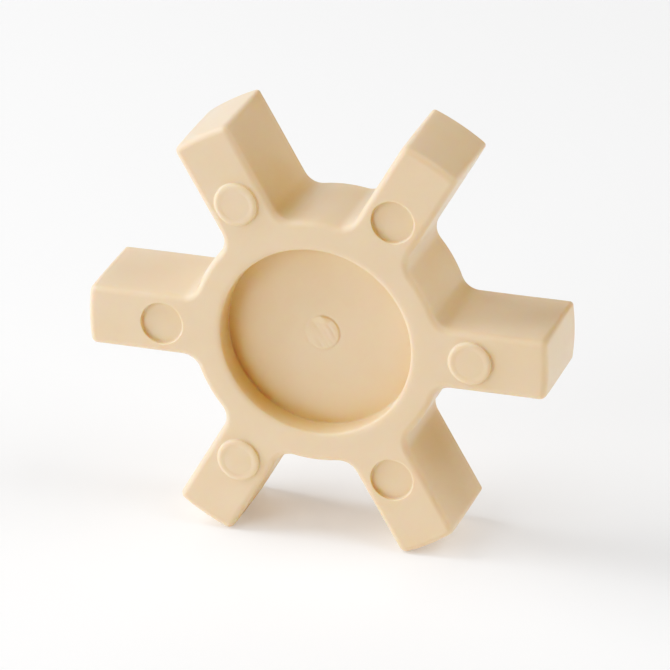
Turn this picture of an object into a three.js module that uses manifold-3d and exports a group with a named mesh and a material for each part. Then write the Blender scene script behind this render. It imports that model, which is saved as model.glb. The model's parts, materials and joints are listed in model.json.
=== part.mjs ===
// Six-legged elastomer insert (the "spider") of a straight-jaw shaft coupling.
//
// Frame: millimetres, +Z up. The coupling axis is Y and passes through the origin, which is
// the centre of the insert. The front face looks towards -Y. Leg 1 points along +X and the
// others follow every 60 degrees, so the insert stands on the tips of legs 5 and 6.
//
// The insert is one injection moulding: six straight legs on a ring, closed by a thin web.
// It is drawn in plan, with x to the right, y up and the front face towards +z, and the
// finished mesh is then turned upright.

import * as THREE from "three";
import { mergeVertices } from "three/addons/utils/BufferGeometryUtils.js";
import Module from "manifold-3d";

// ---- driving dimensions, in millimetres ----
const OUTSIDE_DIAMETER = 53.6; // over the tips of opposite legs
const HUB_GAP = 12.7; // between the two hub faces, which the spacer pads just fill
const PAD_HEIGHT = 0.4; // raised spacer pads, on alternate legs of each face
const LEG_COUNT = 6;
const LEG_WIDTH = 7.25;
const TIP_CORNER_RADIUS = 0.65; // where a leg's flank meets its tip, in plan
const RING_DIAMETER = 29.2;
const ROOT_FILLET_RADIUS = 2.1; // where a leg's flank runs into the ring
const FRONT_EDGE_RADIUS = 0.6; // along the whole front edge; the back edge is left sharp
const RECESS_DIAMETER = 22.2; // round recess in each face, inside the ring
const RECESS_DEPTH = 3.1;
const PAD_DIAMETER = 5.0;
const PAD_CIRCLE_DIAMETER = 36.0; // the dimples lie on it too
const DIMPLE_DIAMETER = 4.9;
const DIMPLE_DEPTH = 0.5;
const GATE_DIAMETER = 4.1; // cut-off gate in the middle of the front recess
const GATE_HEIGHT = 0.2;

// ---- worked out from them ----
const THICKNESS = HUB_GAP - 2 * PAD_HEIGHT; // between the two flat faces
const TIP_RADIUS = OUTSIDE_DIAMETER / 2;
const RING_RADIUS = RING_DIAMETER / 2;
const HALF_WIDTH = LEG_WIDTH / 2;
const LEG_PITCH = (2 * Math.PI) / LEG_COUNT;

// ---- how finely round stretches are cut ----
const ARC_STEPS = 6; // short arcs: fillets, tip corners, tips and the ring between two legs
const EDGE_STEPS = 3;
const RECESS_STEPS = 72;
const PAD_STEPS = 32;
const SINK = 0.5; // how far a joined or cutting cylinder runs past the face that it meets

const wasm = await Module();
wasm.setup();

function solid(geometry) {
  const bare = geometry.clone();
  bare.deleteAttribute("normal");
  bare.deleteAttribute("uv");
  const merged = mergeVertices(bare, 1e-4);
  return new wasm.Manifold(
    new wasm.Mesh({
      numProp: 3,
      vertProperties: merged.attributes.position.array,
      triVerts: new Uint32Array(merged.index.array),
    }),
  );
}

function geometryOf(manifold) {
  const mesh = manifold.getMesh();
  const geometry = new THREE.BufferGeometry();
  geometry.setAttribute("position", new THREE.BufferAttribute(mesh.vertProperties, 3));
  geometry.setIndex(new THREE.BufferAttribute(mesh.triVerts, 1));
  geometry.computeVertexNormals();
  return geometry;
}

// Points on an arc from angle start to angle end, both included.
function arc(centre, radius, start, end) {
  const points = [];
  for (let i = 0; i <= ARC_STEPS; i++) {
    const angle = start + ((end - start) * i) / ARC_STEPS;
    const spoke = new THREE.Vector2(Math.cos(angle), Math.sin(angle));
    points.push(spoke.multiplyScalar(radius).add(centre));
  }
  return points;
}

// One leg along +x, from the ring on its right-hand side round the tip and back to the ring,
// followed by the stretch of the ring that leads to the next leg.
function legOutline() {
  const filletY = HALF_WIDTH + ROOT_FILLET_RADIUS;
  const filletX = Math.sqrt((RING_RADIUS + ROOT_FILLET_RADIUS) ** 2 - filletY ** 2);
  const filletAngle = Math.atan2(filletY, filletX);
  const cornerY = HALF_WIDTH - TIP_CORNER_RADIUS;
  const cornerX = Math.sqrt((TIP_RADIUS - TIP_CORNER_RADIUS) ** 2 - cornerY ** 2);
  const cornerAngle = Math.atan2(cornerY, cornerX);
  const origin = new THREE.Vector2(0, 0);
  const half = [
    ...arc(origin, TIP_RADIUS, 0, cornerAngle),
    ...arc(new THREE.Vector2(cornerX, cornerY), TIP_CORNER_RADIUS, cornerAngle, Math.PI / 2).slice(1),
    ...arc(
      new THREE.Vector2(filletX, filletY),
      ROOT_FILLET_RADIUS,
      -Math.PI / 2,
      filletAngle - Math.PI,
    ),
  ];
  const mirrored = half.slice(1).map((p) => new THREE.Vector2(p.x, -p.y)).reverse();
  const ring = arc(origin, RING_RADIUS, filletAngle, LEG_PITCH - filletAngle).slice(1, -1);
  return [...mirrored, ...half, ...ring];
}

// The whole plan outline, extruded to the thickness of the insert. The front part is rounded
// at both of its ends, and the plain back half covers the end that lies inside the insert.
function legsAndRing() {
  const leg = legOutline();
  const outline = [];
  for (let i = 0; i < LEG_COUNT; i++) {
    const turned = leg.map((p) => p.clone().rotateAround(new THREE.Vector2(0, 0), i * LEG_PITCH));
    outline.push(...turned);
  }
  const plan = new THREE.Shape(outline);
  const straight = 0.75 * THICKNESS - 2 * FRONT_EDGE_RADIUS;
  const front = new THREE.ExtrudeGeometry(plan, {
    depth: straight,
    bevelThickness: FRONT_EDGE_RADIUS,
    bevelSize: FRONT_EDGE_RADIUS,
    bevelOffset: -FRONT_EDGE_RADIUS,
    bevelSegments: EDGE_STEPS,
  });
  front.translate(0, 0, THICKNESS / 2 - FRONT_EDGE_RADIUS - straight);
  const back = new THREE.ExtrudeGeometry(plan, { depth: THICKNESS / 2, bevelEnabled: false });
  back.translate(0, 0, -THICKNESS / 2);
  return solid(front).add(solid(back));
}

// A round boss or cutter standing along z between two heights.
function disc(diameter, low, high, steps, x = 0, y = 0) {
  const cylinder = new THREE.CylinderGeometry(diameter / 2, diameter / 2, high - low, steps);
  cylinder.rotateX(Math.PI / 2);
  cylinder.translate(x, y, (low + high) / 2);
  return solid(cylinder);
}

function spider() {
  const face = THICKNESS / 2;
  const floor = face - RECESS_DEPTH;
  let body = legsAndRing();
  for (const side of [1, -1]) {
    const recess = [side * floor, side * (face + SINK)].sort((a, b) => a - b);
    body = body.subtract(disc(RECESS_DIAMETER, ...recess, RECESS_STEPS));
  }
  // Pads stand on legs 1, 3 and 5 in front and on legs 2, 4 and 6 behind. The other face of
  // each of those legs has a dimple, so every leg holds the same amount of material.
  for (let i = 0; i < LEG_COUNT; i++) {
    const padSide = i % 2 === 0 ? 1 : -1;
    const x = (PAD_CIRCLE_DIAMETER / 2) * Math.cos(i * LEG_PITCH);
    const y = (PAD_CIRCLE_DIAMETER / 2) * Math.sin(i * LEG_PITCH);
    const pad = [padSide * (face - SINK), padSide * (face + PAD_HEIGHT)].sort((a, b) => a - b);
    const dimple = [-padSide * (face - DIMPLE_DEPTH), -padSide * (face + SINK)].sort((a, b) => a - b);
    body = body.add(disc(PAD_DIAMETER, ...pad, PAD_STEPS, x, y));
    body = body.subtract(disc(DIMPLE_DIAMETER, ...dimple, PAD_STEPS, x, y));
  }
  return body.add(disc(GATE_DIAMETER, floor - SINK, floor + GATE_HEIGHT, PAD_STEPS));
}

const elastomer = new THREE.MeshStandardMaterial({ color: 0xe3cba8, roughness: 0.5, metalness: 0 });

const mesh = new THREE.Mesh(geometryOf(spider()), elastomer);
mesh.name = "spider";
mesh.rotation.x = Math.PI / 2; // stands the plan drawing up, with its front towards -Y

const coupling = new THREE.Group();
coupling.add(mesh);

export default coupling;
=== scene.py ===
"""Looks of an elastomer spider insert for a jaw coupling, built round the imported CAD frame.

Metres, +Z up. The coupling axis is Y, the front face looks towards -Y, and the insert stands
on the tips of its two lowest legs.
"""

import cmath
import json
import math

import bmesh
import bpy
import numpy as np
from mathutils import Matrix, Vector, noise
from mathutils.geometry import delaunay_2d_cdt


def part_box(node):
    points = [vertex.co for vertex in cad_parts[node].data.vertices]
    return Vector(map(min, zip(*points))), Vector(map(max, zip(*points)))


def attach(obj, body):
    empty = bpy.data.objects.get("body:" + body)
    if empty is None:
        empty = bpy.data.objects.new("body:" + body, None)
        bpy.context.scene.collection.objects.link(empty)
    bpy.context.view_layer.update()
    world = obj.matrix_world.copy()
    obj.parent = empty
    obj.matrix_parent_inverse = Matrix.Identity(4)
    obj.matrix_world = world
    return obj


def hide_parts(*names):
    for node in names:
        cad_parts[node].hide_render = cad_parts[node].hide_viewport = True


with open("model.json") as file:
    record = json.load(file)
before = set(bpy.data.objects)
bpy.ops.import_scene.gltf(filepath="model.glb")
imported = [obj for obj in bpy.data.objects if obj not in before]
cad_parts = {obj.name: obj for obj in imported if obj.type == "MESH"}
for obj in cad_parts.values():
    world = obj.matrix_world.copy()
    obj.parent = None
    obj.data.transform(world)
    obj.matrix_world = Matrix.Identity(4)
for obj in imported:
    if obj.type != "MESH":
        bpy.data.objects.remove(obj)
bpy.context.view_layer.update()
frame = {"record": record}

MM = 0.001
FRONT, BACK = -1, 1  # the sign of y on that side of the insert

# ---- sizes that the frame gives ----
spider_low, spider_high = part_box("spider")
mounts = {m["name"]: Vector(m["pos_m"]) for m in frame["record"]["mounts"]}
TIP_RADIUS = spider_high.x
FACE = -mounts["front_face"].y
HALF_WIDTH = mounts["leg_1_anticlockwise_flank"].z
PAD_CIRCLE_RADIUS = mounts["leg_1_spacer_pad"].x
PAD_HEIGHT = spider_high.y - FACE
LEG_COUNT = sum(name.endswith("spacer_pad") for name in mounts)
PITCH = 2 * math.pi / LEG_COUNT

# ---- sizes that the CAD source also holds ----
RING_RADIUS = 14.6 * MM
ROOT_FILLET = 2.1 * MM
RECESS_RADIUS = 11.1 * MM
RECESS_DEPTH = 3.1 * MM
PAD_RADIUS = 2.5 * MM
DIMPLE_RADIUS = 2.45 * MM
DIMPLE_DEPTH = 0.5 * MM
GATE_RADIUS = 2.05 * MM
GATE_HEIGHT = 0.2 * MM

# ---- moulded detail that only this script makes ----
FRONT_EDGE = 0.75 * MM  # radius of the rounding along the front edge
BACK_EDGE = 0.1 * MM
FRONT_TIP_CORNER = 0.9 * MM  # a leg tip's corner in plan, which gets tighter towards the back
BACK_TIP_CORNER = 0.5 * MM
SHARPEST_CORNER = 0.12 * MM  # what is left of that corner where the front edge is rounded
CROWN = 0.04 * MM  # how much further out the walls stand at mid thickness than at the faces
# Roundings of the recess, the pads and the dimples: how wide, how deep.
RECESS_RIM = (0.8 * MM, 0.28 * MM)
RECESS_CORNER = (0.15 * MM, 0.15 * MM)
PAD_FOOT = (0.18 * MM, 0.1 * MM)
PAD_SHOULDER = (0.45 * MM, 0.25 * MM)
PAD_SINK = (0.45 * MM, 0.045 * MM)  # how the middle of a pad has sunk inside its rim
DIMPLE_RIM = (0.12 * MM, 0.12 * MM)
DIMPLE_CORNER = (0.25 * MM, 0.2 * MM)
WAVE_HEIGHT = 0.025 * MM  # slow unevenness of a moulded surface
WAVE_LENGTH = 7 * MM

# ---- cut-off gate: its places are in gate radii, its heights in gate heights ----
GATE_FOOT, GATE_SHOULDER = 1.0, 0.9  # the side of the disc climbs from one to the other
GATE_MIDDLE, GATE_SLANT = 0.35, 0.3  # height in the middle, and how much it gains towards +x
LIP_FOOT, LIP_TOP, LIP_HEIGHT = 0.5, 0.75, 0.9  # a ridge along the upper edge
LIP_START, LIP_PEAK, LIP_END = -0.65, 0.1, 0.5  # where it starts, is highest, and ends
STREAK_HEIGHT = 0.35
STREAKS_ALONG, STREAKS_ACROSS = 1.2, 4  # how closely the streaks follow each other
TEAR_ANGLE = math.radians(-50)  # along the streaks that the tear left
GROOVE_RADIUS, GROOVE_WIDTH, GROOVE_DEPTH = 1.02, 0.08, 0.15  # round the foot of the disc

# ---- how finely the surface is cut ----
TIP_STEPS, CORNER_STEPS, FLANK_STEPS, FILLET_STEPS, RING_STEPS = 7, 6, 15, 8, 7
EDGE_STEPS, WALL_STEPS = 6, 16
RECESS_STEPS, PAD_STEPS = 120, 48
ROUND_STEPS, WALL_RINGS = 7, 4
SUPPORT = 0.04 * MM  # a narrow ring beside each rounded edge keeps the flat next to it flat
FACE_GRID = 0.7 * MM
PAD_GRID = 0.5 * MM
GATE_GRID = 0.09 * MM
GATE_ZONE_RADIUS = 1.25 * GATE_RADIUS  # how far out the floor is cut that finely
RIM_GAP = 0.6  # at least this part of a grid's spacing is kept between the grid and a rim
SAME_POINT = 1e-7  # points closer than this, in millimetres, are one to the triangulation
SAME_HEIGHT = 0.001 * MM


# ---- the moulding ----
# A point in plan is a complex number, x + iz.


def arc(centre, radius, start, end, steps):
    angles = [start + (end - start) * i / steps for i in range(steps + 1)]
    return [centre + cmath.rect(radius, angle) for angle in angles]


def outline(inset, y):
    """The plan of the insert at that y, moved inwards by inset."""
    backwards = (y / FACE + 1) / 2
    tip_corner = FRONT_TIP_CORNER + (BACK_TIP_CORNER - FRONT_TIP_CORNER) * backwards
    tip_radius = TIP_RADIUS - inset
    half_width = HALF_WIDTH - inset
    corner_radius = max(tip_corner - inset, SHARPEST_CORNER)
    fillet_radius = ROOT_FILLET + inset
    ring_radius = RING_RADIUS - inset
    quarter = math.pi / 2

    corner_z = half_width - corner_radius
    corner = complex(math.sqrt((tip_radius - corner_radius) ** 2 - corner_z**2), corner_z)
    fillet_z = half_width + fillet_radius
    fillet = complex(math.sqrt((ring_radius + fillet_radius) ** 2 - fillet_z**2), fillet_z)
    corner_angle, fillet_angle = cmath.phase(corner), cmath.phase(fillet)

    half = arc(0, tip_radius, 0, corner_angle, TIP_STEPS)
    half += arc(corner, corner_radius, corner_angle, quarter, CORNER_STEPS)[1:]
    flank = np.linspace(corner.real, fillet.real, FLANK_STEPS + 1)[1:-1]
    half += [complex(x, half_width) for x in flank]
    half += arc(fillet, fillet_radius, -quarter, fillet_angle - math.pi, FILLET_STEPS)
    mirrored = [p.conjugate() for p in reversed(half[1:])]
    ring = arc(0, ring_radius, fillet_angle, PITCH - fillet_angle, RING_STEPS)[1:-1]
    leg = mirrored + half + ring
    return [p * cmath.rect(1, k * PITCH) for k in range(LEG_COUNT) for p in leg]


def edge_levels():
    """(inset, y) from the front flat round the front edge, along the wall and round the back."""

    def crown(y):
        return CROWN * (y / FACE) ** 2

    levels = []
    for side, radius in ((FRONT, FRONT_EDGE), (BACK, BACK_EDGE)):
        rounded = [(crown(FACE) + radius + SUPPORT, side * FACE)]
        for i in range(EDGE_STEPS + 1):
            angle = math.pi / 2 * i / EDGE_STEPS
            y = FACE - radius * (1 - math.cos(angle))
            rounded.append((crown(y) + radius * (1 - math.sin(angle)), side * y))
        levels.append(rounded)
    first, last = levels[0][-1][1], levels[1][-1][1]
    wall = [first + (last - first) * i / WALL_STEPS for i in range(1, WALL_STEPS)]
    return levels[0] + [(crown(y), y) for y in wall] + levels[1][::-1]


def step_profile(radius, base, rise, outer_round, inner_round):
    """(radius, y) of a round step in a flat at y = base: a boss or a pocket, by rise's sign.

    A rounding is (how wide, how deep), so it may be a quarter of an ellipse.
    """
    way = math.copysign(1, rise)
    outer_width, outer_depth = outer_round
    inner_width, inner_depth = inner_round
    angles = [math.pi / 2 * i / ROUND_STEPS for i in range(ROUND_STEPS + 1)]
    profile = [(radius + outer_width + SUPPORT, base)]
    for a in angles:
        y = base + way * outer_depth * (1 - math.cos(a))
        profile.append((radius + outer_width * (1 - math.sin(a)), y))
    wall = np.linspace(base + way * outer_depth, base + rise - way * inner_depth, WALL_RINGS)
    profile += [(radius, y) for y in wall[1:-1]]
    for a in angles:
        y = base + rise - way * inner_depth * (1 - math.sin(a))
        profile.append((radius - inner_width * (1 - math.cos(a)), y))
    profile.append((radius - inner_width - SUPPORT, base + rise))
    return profile


def sunk(profile, rise):
    """The same profile, with the flat that it ends on sunk a little against its rise."""
    width, depth = PAD_SINK
    drop = math.copysign(depth, rise)
    rim_radius, rim_y = profile[-1]
    angles = [math.pi * i / ROUND_STEPS for i in range(1, ROUND_STEPS + 1)]
    return profile + [
        (rim_radius - width * a / math.pi, rim_y - drop * (1 - math.cos(a)) / 2) for a in angles
    ]


def covered(loop, points):
    """Which of the points lie inside the loop, by its winding round them."""
    towards = loop[None, :] - points[:, None]
    turns = np.angle(np.roll(towards, -1, axis=1) / towards).sum(axis=1)
    return np.abs(turns) > math.pi


class Skin:
    """The surface under construction. A loop is a row of point numbers that closes on itself."""

    def __init__(self):
        self.points = []
        self.faces = []

    def loop(self, plan, y):
        start = len(self.points)
        self.points.extend((p.real, y, p.imag) for p in plan)
        return range(start, len(self.points))

    def bridge(self, loops):
        for a, b in zip(loops, loops[1:]):
            for i in range(len(a)):
                j = (i + 1) % len(a)
                self.faces.append((a[i], a[j], b[j], b[i]))

    def revolve(self, centre, profile, steps):
        """Rings round centre, one for each (radius, y). Returns the first and the last ring."""
        spokes = [cmath.rect(1, 2 * math.pi * i / steps) for i in range(steps)]
        rings = [self.loop([centre + r * spoke for spoke in spokes], y) for r, y in profile]
        self.bridge(rings)
        return rings[0], rings[-1]

    def fill(self, outer, holes, spacing):
        """Covers the flat inside the outer loop, but not its holes, with even triangles."""
        y = self.points[outer[0]][1]
        loops = (outer, *holes)
        rims = [
            np.array([complex(self.points[n][0], self.points[n][2]) for n in loop])
            for loop in loops
        ]
        numbers = [n for loop in loops for n in loop]
        edges = []
        for rim in rims:
            start = len(edges)
            edges += [(start + i, start + (i + 1) % len(rim)) for i in range(len(rim))]

        row = spacing * math.sqrt(3) / 2
        reach = np.abs(rims[0] - rims[0].mean()).max()
        count = int(reach / row) + 1
        steps = np.arange(-count, count + 1)
        across, along = np.meshgrid(steps, steps)
        grid = (across + 0.5 * (along % 2)) * spacing + 1j * along * row
        grid = grid.ravel() + rims[0].mean()
        keep = covered(rims[0], grid)
        for hole in rims[1:]:
            keep &= ~covered(hole, grid)
        grid = grid[keep]
        for rim in rims:
            clear = np.abs(grid[:, None] - rim[None, :]).min(axis=1) > spacing * RIM_GAP
            grid = grid[clear]
        numbers += self.loop(grid, y)

        plan = np.concatenate([*rims, grid])
        flat = [Vector((p.real / MM, p.imag / MM)) for p in plan]
        points, _, triangles, origins, _, _ = delaunay_2d_cdt(flat, edges, [], 0, SAME_POINT)
        whole = np.array([complex(*p) * MM for p in points])
        middles = whole[np.array(triangles)].mean(axis=1)
        keep = covered(rims[0], middles)
        for hole in rims[1:]:
            keep &= ~covered(hole, middles)
        for triangle, kept in zip(triangles, keep):
            if kept:
                self.faces.append(tuple(numbers[origins[corner][0]] for corner in triangle))


def moulded_skin():
    skin = Skin()
    wall = [skin.loop(outline(inset, y), y) for inset, y in edge_levels()]
    skin.bridge(wall)

    for side, rim in ((FRONT, wall[0]), (BACK, wall[-1])):
        base = side * FACE
        profile = step_profile(
            RECESS_RADIUS, base, -side * RECESS_DEPTH, RECESS_RIM, RECESS_CORNER
        )
        mouth, floor = skin.revolve(0, profile, RECESS_STEPS)
        holes = [mouth]
        if side == FRONT:
            floor_y = skin.points[floor[0]][1]
            gate_zone, _ = skin.revolve(0, [(GATE_ZONE_RADIUS, floor_y)], RECESS_STEPS)
            skin.fill(floor, [gate_zone], FACE_GRID)
            skin.fill(gate_zone, [], GATE_GRID)
        else:
            skin.fill(floor, [], FACE_GRID)
        for k in range(LEG_COUNT):
            centre = cmath.rect(PAD_CIRCLE_RADIUS, k * PITCH)
            raised = (k % 2 == 0) == (side == FRONT)
            if raised:
                rise = side * PAD_HEIGHT
                profile = step_profile(PAD_RADIUS, base, rise, PAD_FOOT, PAD_SHOULDER)
                profile = sunk(profile, rise)
            else:
                profile = step_profile(
                    DIMPLE_RADIUS, base, -side * DIMPLE_DEPTH, DIMPLE_RIM, DIMPLE_CORNER
                )
            mouth, floor = skin.revolve(centre, profile, PAD_STEPS)
            skin.fill(floor, [], PAD_GRID)
            holes.append(mouth)
        skin.fill(rim, holes, FACE_GRID)
    return skin


def ramp_between(start, end, value):
    """0 up to start and 1 from end on, with a smooth climb between them."""
    way = min(max((value - start) / (end - start), 0), 1)
    return way * way * (3 - 2 * way)


def gate_relief(x, z):
    """Height of the cut-off gate over the floor of the front recess.

    It is a low disc inside a shallow groove, torn off aslant: it stands higher towards +x, and
    has a lip along its upper edge and streaks along the tear.
    """
    plan = complex(x, z) / GATE_RADIUS
    disc = ramp_between(GATE_FOOT, GATE_SHOULDER, abs(plan))
    groove = math.exp(-(((abs(plan) - GROOVE_RADIUS) / GROOVE_WIDTH) ** 2))
    climb = ramp_between(LIP_START, LIP_PEAK, plan.real)
    fall = ramp_between(LIP_END, LIP_PEAK, plan.real)
    lip = ramp_between(LIP_FOOT, LIP_TOP, plan.imag) * (climb * fall)
    torn = plan * cmath.rect(1, -TEAR_ANGLE)
    streaks = noise.noise(Vector((torn.real * STREAKS_ALONG, torn.imag * STREAKS_ACROSS, 0)))
    top = GATE_MIDDLE + GATE_SLANT * plan.real + LIP_HEIGHT * lip + STREAK_HEIGHT * streaks
    return GATE_HEIGHT * (disc * top - GROOVE_DEPTH * groove)


def build_spider():
    skin = moulded_skin()
    mesh = bpy.data.meshes.new("spider_moulding")
    mesh.from_pydata(skin.points, [], skin.faces)
    mesh.validate()
    moulding = bpy.data.objects.new("spider_moulding", mesh)
    bpy.context.scene.collection.objects.link(moulding)

    # This turns every face outwards in this mesh alone, so the frame's own mesh stays as it is.
    shell = bmesh.new()
    shell.from_mesh(mesh)
    bmesh.ops.recalc_face_normals(shell, faces=shell.faces)
    shell.to_mesh(mesh)
    shell.free()

    floor_y = -(FACE - RECESS_DEPTH)
    normals = [v.normal.copy() for v in mesh.vertices]
    for vertex, normal in zip(mesh.vertices, normals):
        x, y, z = vertex.co
        wave = noise.noise(vertex.co / WAVE_LENGTH) * WAVE_HEIGHT
        if abs(y - floor_y) < SAME_HEIGHT and math.hypot(x, z) < GATE_ZONE_RADIUS:
            vertex.co.y -= gate_relief(x, z)
        # The waves only go inwards, so the moulding stays inside the CAD solid's box.
        vertex.co += normal * (wave - WAVE_HEIGHT)
    mesh.polygons.foreach_set("use_smooth", [True] * len(mesh.polygons))
    mesh.update()
    return moulding


# ---- material ----

MOTTLE_SIZE, MOTTLE_DETAIL = 6 * MM, 3
MOTTLE_COLOURS = (0.812, 0.62, 0.431), (0.832, 0.64, 0.456)
SHEEN_SIZE, SHEEN_DETAIL = 1.5 * MM, 4
SHEEN_ROUGHNESS = (0.40,) * 3, (0.50,) * 3
GRAIN_SIZE, GRAIN_DETAIL = 0.35 * MM, 3
GRAIN_HEIGHT, GRAIN_STRENGTH = 0.02 * MM, 0.25
NOISE_LOW, NOISE_HIGH = 0.3, 0.7  # where a pattern reaches the ends of its ramp
REFRACTIVE_INDEX = 1.47
SUBSURFACE_WEIGHT, SUBSURFACE_SCALE = 0.7, 0.7 * MM
SUBSURFACE_RADIUS = (1.0, 0.55, 0.3)  # how far red, green and blue go, as parts of that scale


def elastomer():
    """Cream thermoplastic elastomer: faint flow mottling, satin skin, light soaks in a little."""
    material = bpy.data.materials.new("elastomer")
    material.use_nodes = True
    tree = material.node_tree
    shader = tree.nodes["Principled BSDF"]
    place = tree.nodes.new("ShaderNodeTexCoord")

    def pattern(size, detail):
        node = tree.nodes.new("ShaderNodeTexNoise")
        node.inputs["Scale"].default_value = 1 / size
        node.inputs["Detail"].default_value = detail
        tree.links.new(place.outputs["Object"], node.inputs["Vector"])
        return node.outputs["Fac"]

    def ramp(source, low, high):
        node = tree.nodes.new("ShaderNodeValToRGB")
        node.color_ramp.elements[0].position = NOISE_LOW
        node.color_ramp.elements[0].color = (*low, 1)
        node.color_ramp.elements[1].position = NOISE_HIGH
        node.color_ramp.elements[1].color = (*high, 1)
        tree.links.new(source, node.inputs["Fac"])
        return node.outputs["Color"]

    mottle = ramp(pattern(MOTTLE_SIZE, MOTTLE_DETAIL), *MOTTLE_COLOURS)
    tree.links.new(mottle, shader.inputs["Base Color"])
    sheen = ramp(pattern(SHEEN_SIZE, SHEEN_DETAIL), *SHEEN_ROUGHNESS)
    tree.links.new(sheen, shader.inputs["Roughness"])
    bump = tree.nodes.new("ShaderNodeBump")
    bump.inputs["Strength"].default_value = GRAIN_STRENGTH
    bump.inputs["Distance"].default_value = GRAIN_HEIGHT
    tree.links.new(pattern(GRAIN_SIZE, GRAIN_DETAIL), bump.inputs["Height"])
    tree.links.new(bump.outputs["Normal"], shader.inputs["Normal"])
    shader.inputs["IOR"].default_value = REFRACTIVE_INDEX
    shader.inputs["Subsurface Weight"].default_value = SUBSURFACE_WEIGHT
    shader.inputs["Subsurface Radius"].default_value = SUBSURFACE_RADIUS
    shader.inputs["Subsurface Scale"].default_value = SUBSURFACE_SCALE
    return material


# ---- studio ----

# Angles are in degrees. Azimuth 0 is straight in front, and azimuths grow towards +x.
CAMERA_AZIMUTH, CAMERA_ELEVATION, CAMERA_ROLL = 17.6, 24.15, -0.15
CAMERA_DISTANCE = 20 * TIP_RADIUS
CLIP_START, CLIP_END = 0.01, 10
LEG_ON_SCREEN = 0.3567  # a leg tip's radius at that distance, as a part of the picture's width
SENSOR = 36.0  # in the lens's own unit, which is a real camera's millimetre
AIM = Vector((0.53, 0.0, -1.47)) * MM  # the place that the camera looks at
LIGHT_DISTANCE = 0.7  # of every light from the middle of the insert
LIGHT_SIZE = 0.5
FLOOR_RADIUS, FLOOR_STEPS = 0.6, 96
FLOOR_GREY, FLOOR_ROUGHNESS, FLOOR_GLOW = 0.9, 0.7, 0.15
BLACK_LEVEL, TOE, SHOULDER = 0.14, 0.04, 0.92  # of the camera's response to light
RESPONSE_STEPS = 24
COMBINED = 3  # the number of the curve that holds for red, green and blue alike


def direction(azimuth, elevation):
    """Unit vector from the insert towards a place round it."""
    a, e = math.radians(azimuth), math.radians(elevation)
    return Vector((math.sin(a) * math.cos(e), -math.cos(a) * math.cos(e), math.sin(e)))


def add_camera():
    data = bpy.data.cameras.new("camera")
    data.sensor_width = SENSOR
    data.lens = SENSOR * LEG_ON_SCREEN * CAMERA_DISTANCE / TIP_RADIUS
    data.clip_start, data.clip_end = CLIP_START, CLIP_END
    camera = bpy.data.objects.new("camera", data)
    back = direction(CAMERA_AZIMUTH, CAMERA_ELEVATION)
    camera.location = AIM + back * CAMERA_DISTANCE
    camera.rotation_euler = (-back).to_track_quat("-Z", "Y").to_euler()
    camera.rotation_euler.rotate_axis("Z", math.radians(CAMERA_ROLL))
    bpy.context.scene.collection.objects.link(camera)
    bpy.context.scene.camera = camera


def add_light(name, azimuth, elevation, power):
    data = bpy.data.lights.new(name, "AREA")
    data.shape = "DISK"
    data.size = LIGHT_SIZE
    data.energy = power
    light = bpy.data.objects.new(name, data)
    back = direction(azimuth, elevation)
    light.location = back * LIGHT_DISTANCE
    light.rotation_euler = (-back).to_track_quat("-Z", "Y").to_euler()
    bpy.context.scene.collection.objects.link(light)


def add_floor():
    mesh = bpy.data.meshes.new("floor")
    rim = arc(0, FLOOR_RADIUS, 0, 2 * math.pi, FLOOR_STEPS)[1:]
    mesh.from_pydata([(p.real, p.imag, spider_low.z) for p in rim], [], [range(FLOOR_STEPS)])
    floor = bpy.data.objects.new("floor", mesh)
    bpy.context.scene.collection.objects.link(floor)
    material = bpy.data.materials.new("pale_floor")
    material.use_nodes = True
    shader = material.node_tree.nodes["Principled BSDF"]
    shader.inputs["Base Color"].default_value = (FLOOR_GREY, FLOOR_GREY, FLOOR_GREY, 1)
    shader.inputs["Roughness"].default_value = FLOOR_ROUGHNESS
    shader.inputs["Emission Color"].default_value = (1, 1, 1, 1)
    shader.inputs["Emission Strength"].default_value = FLOOR_GLOW
    mesh.materials.append(material)


def film_response(light):
    """How bright a camera shows a light level: a soft toe above black, then a gentle shoulder."""
    above = light - BLACK_LEVEL
    above = (above + math.hypot(above, TOE)) / 2 / (1 - BLACK_LEVEL)
    return above * (1 + SHOULDER) / (above + SHOULDER)


def set_film_response():
    settings = bpy.context.scene.view_settings
    settings.view_transform = "Standard"
    settings.use_curve_mapping = True
    curve = settings.curve_mapping.curves[COMBINED]
    for i in range(1, RESPONSE_STEPS):
        light = i / RESPONSE_STEPS
        curve.points.new(light, min(film_response(light), 1))
    settings.curve_mapping.update()


def add_backdrop():
    """A white surround behind the floor. It gives no light, only the area lights do."""
    world = bpy.data.worlds.new("backdrop")
    bpy.context.scene.world = world
    world.use_nodes = True
    background = world.node_tree.nodes["Background"]
    background.inputs["Color"].default_value = (1, 1, 1, 1)
    background.inputs["Strength"].default_value = 1
    for ray in ("diffuse", "glossy", "transmission", "scatter"):
        setattr(world.cycles_visibility, ray, False)


add_camera()
add_backdrop()
add_floor()
# Each light has its azimuth, its elevation and its power in watts.
add_light("front_left", -32, 24, 1.43)
add_light("left_low", -78, 6, 2.3)
add_light("left_high", -84, 46, 2.7)
add_light("overhead", -5, 68, 0.2)
add_light("right_low", 108, 15, 0.95)
add_light("right_high", 84, 53, 1.6)
add_light("back", -160, 18, 0.65)

spider = build_spider()
spider.data.materials.append(elastomer())
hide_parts("spider")
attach(spider, "root")

set_film_response()
